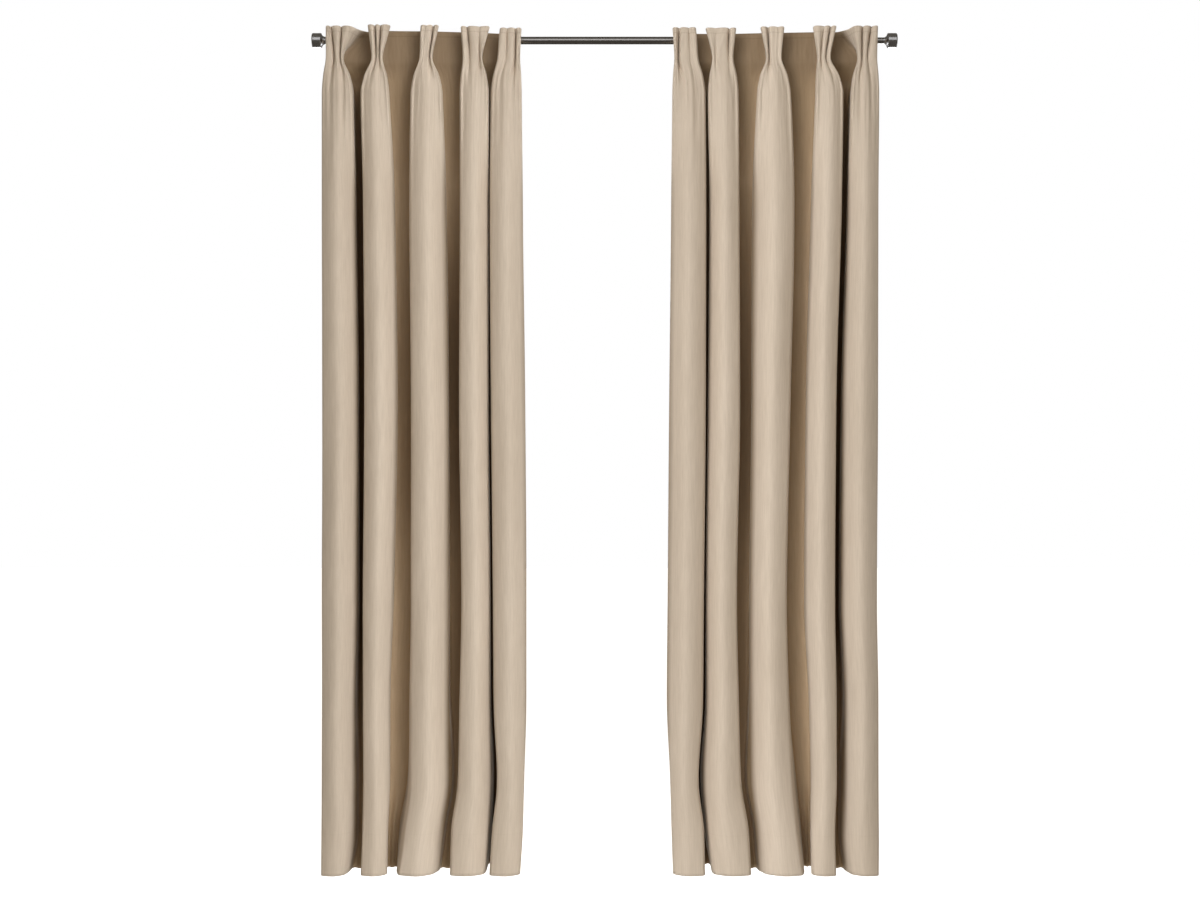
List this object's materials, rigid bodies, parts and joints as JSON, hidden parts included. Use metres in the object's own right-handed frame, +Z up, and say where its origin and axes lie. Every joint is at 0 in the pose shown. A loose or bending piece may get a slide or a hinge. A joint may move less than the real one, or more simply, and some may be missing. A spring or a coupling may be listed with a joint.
{
  "type": "curtains on a rod",
  "caption": "Pair of pinch-pleated curtain panels with back tabs on a telescoping round rod with drum finials and two wall brackets.",
  "frame": {"origin": "centre of the rectangle of the four wall-screw holes, on the wall's face", "axes": "+Z up along the drop; +Y into the wall, so the curtains hang on the -Y side; X along the rod"},
  "size_m": [1.4946, 0.172, 2.149],
  "materials": {
    "curtain_cloth": "satin weave, light taupe",
    "rod_metal": "pewter, satin",
    "bracket_metal": "pewter-coloured paint",
    "screw_steel": "plated",
    "nylon": "natural nylon"
  },
  "bodies": {
    "wall_brackets": {"left_bracket_plate": "bracket_metal", "left_bracket_arm": "bracket_metal", "left_bracket_cradle": "bracket_metal", "right_bracket_plate": "bracket_metal", "right_bracket_arm": "bracket_metal", "right_bracket_cradle": "bracket_metal"},
    "left_clamp": {"left_clamp_screw": "screw_steel"},
    "right_clamp": {"right_clamp_screw": "screw_steel"},
    "rod": {"outer_rod_tube": "rod_metal", "rod_bush": "nylon", "left_end_plug": "nylon"},
    "inner_rod": {"inner_rod_tube": "rod_metal", "inner_rod_glide": "nylon", "right_end_plug": "nylon"},
    "left_finial": {"left_finial_stud": "screw_steel", "left_finial_collar": "rod_metal", "left_finial_cap": "rod_metal"},
    "right_finial": {"right_finial_stud": "screw_steel", "right_finial_collar": "rod_metal", "right_finial_cap": "rod_metal"},
    "left_fold_1": {"left_pleat_1": "curtain_cloth", "left_tab_1": "curtain_cloth", "left_web_1": "curtain_cloth"},
    "left_fold_2": {"left_pleat_2": "curtain_cloth", "left_tab_2": "curtain_cloth", "left_web_2": "curtain_cloth"},
    "left_fold_3": {"left_pleat_3": "curtain_cloth", "left_tab_3": "curtain_cloth", "left_web_3": "curtain_cloth"},
    "left_fold_4": {"left_pleat_4": "curtain_cloth", "left_tab_4": "curtain_cloth", "left_web_4": "curtain_cloth"},
    "left_fold_5": {"left_pleat_5": "curtain_cloth", "left_tab_5": "curtain_cloth"},
    "right_fold_1": {"right_pleat_1": "curtain_cloth", "right_tab_1": "curtain_cloth", "right_web_1": "curtain_cloth"},
    "right_fold_2": {"right_pleat_2": "curtain_cloth", "right_tab_2": "curtain_cloth", "right_web_2": "curtain_cloth"},
    "right_fold_3": {"right_pleat_3": "curtain_cloth", "right_tab_3": "curtain_cloth", "right_web_3": "curtain_cloth"},
    "right_fold_4": {"right_pleat_4": "curtain_cloth", "right_tab_4": "curtain_cloth", "right_web_4": "curtain_cloth"},
    "right_fold_5": {"right_pleat_5": "curtain_cloth", "right_tab_5": "curtain_cloth"}
  },
  "joints": [
    {"name": "rod_lift", "type": "slide", "parent": "wall_brackets", "child": "rod", "axis": [0, 0, 1], "range_m": [0, 0.04]},
    {"name": "rod_extension", "type": "slide", "parent": "rod", "child": "inner_rod", "axis": [1, 0, 0], "range_m": [0, 0.7]},
    {"name": "left_clamp_release", "type": "slide", "parent": "wall_brackets", "child": "left_clamp", "axis": [0, 0, -1], "range_m": [0, 0.004]},
    {"name": "left_finial_turn", "type": "hinge", "parent": "rod", "child": "left_finial", "pos_m": [-0.706, -0.09, 0], "axis": [-1, 0, 0], "continuous": true},
    {"name": "right_clamp_release", "type": "slide", "parent": "wall_brackets", "child": "right_clamp", "axis": [0, 0, -1], "range_m": [0, 0.004]},
    {"name": "right_finial_turn", "type": "hinge", "parent": "inner_rod", "child": "right_finial", "pos_m": [0.719, -0.09, 0], "axis": [1, 0, 0], "continuous": true},
    {"name": "left_panel_slide", "type": "slide", "parent": "rod", "child": "left_fold_1", "axis": [1, 0, 0], "range_m": [0, 0.175]},
    {"name": "left_gather", "type": "slide", "parent": "left_fold_1", "child": "left_fold_2", "axis": [-1, 0, 0], "range_m": [0, 0.053], "deforming": ["left_pleat_1", "left_web_1", "left_pleat_2", "left_web_2", "left_pleat_3", "left_web_3", "left_pleat_4", "left_web_4", "left_pleat_5"]},
    {"name": "left_gather_3", "type": "slide", "parent": "left_fold_2", "child": "left_fold_3", "axis": [-1, 0, 0], "range_m": [0, 0.061]},
    {"name": "left_gather_4", "type": "slide", "parent": "left_fold_3", "child": "left_fold_4", "axis": [-1, 0, 0], "range_m": [0, 0.0595]},
    {"name": "left_gather_5", "type": "slide", "parent": "left_fold_4", "child": "left_fold_5", "axis": [-1, 0, 0], "range_m": [0, 0.049]},
    {"name": "right_panel_slide", "type": "slide", "parent": "rod", "child": "right_fold_1", "axis": [-1, 0, 0], "range_m": [0, 0.175]},
    {"name": "right_gather", "type": "slide", "parent": "right_fold_1", "child": "right_fold_2", "axis": [1, 0, 0], "range_m": [0, 0.053], "deforming": ["right_pleat_1", "right_web_1", "right_pleat_2", "right_web_2", "right_pleat_3", "right_web_3", "right_pleat_4", "right_web_4", "right_pleat_5"]},
    {"name": "right_gather_3", "type": "slide", "parent": "right_fold_2", "child": "right_fold_3", "axis": [1, 0, 0], "range_m": [0, 0.0665]},
    {"name": "right_gather_4", "type": "slide", "parent": "right_fold_3", "child": "right_fold_4", "axis": [1, 0, 0], "range_m": [0, 0.0635]},
    {"name": "right_gather_5", "type": "slide", "parent": "right_fold_4", "child": "right_fold_5", "axis": [1, 0, 0], "range_m": [0, 0.0485]}
  ],
  "couplings": [
    {"joint": "left_gather_3", "follows": "left_gather", "ratio": 1.1509},
    {"joint": "left_gather_4", "follows": "left_gather", "ratio": 1.1226},
    {"joint": "left_gather_5", "follows": "left_gather", "ratio": 0.92453},
    {"joint": "right_gather_3", "follows": "right_gather", "ratio": 1.2547},
    {"joint": "right_gather_4", "follows": "right_gather", "ratio": 1.1981},
    {"joint": "right_gather_5", "follows": "right_gather", "ratio": 0.91509}
  ]
}
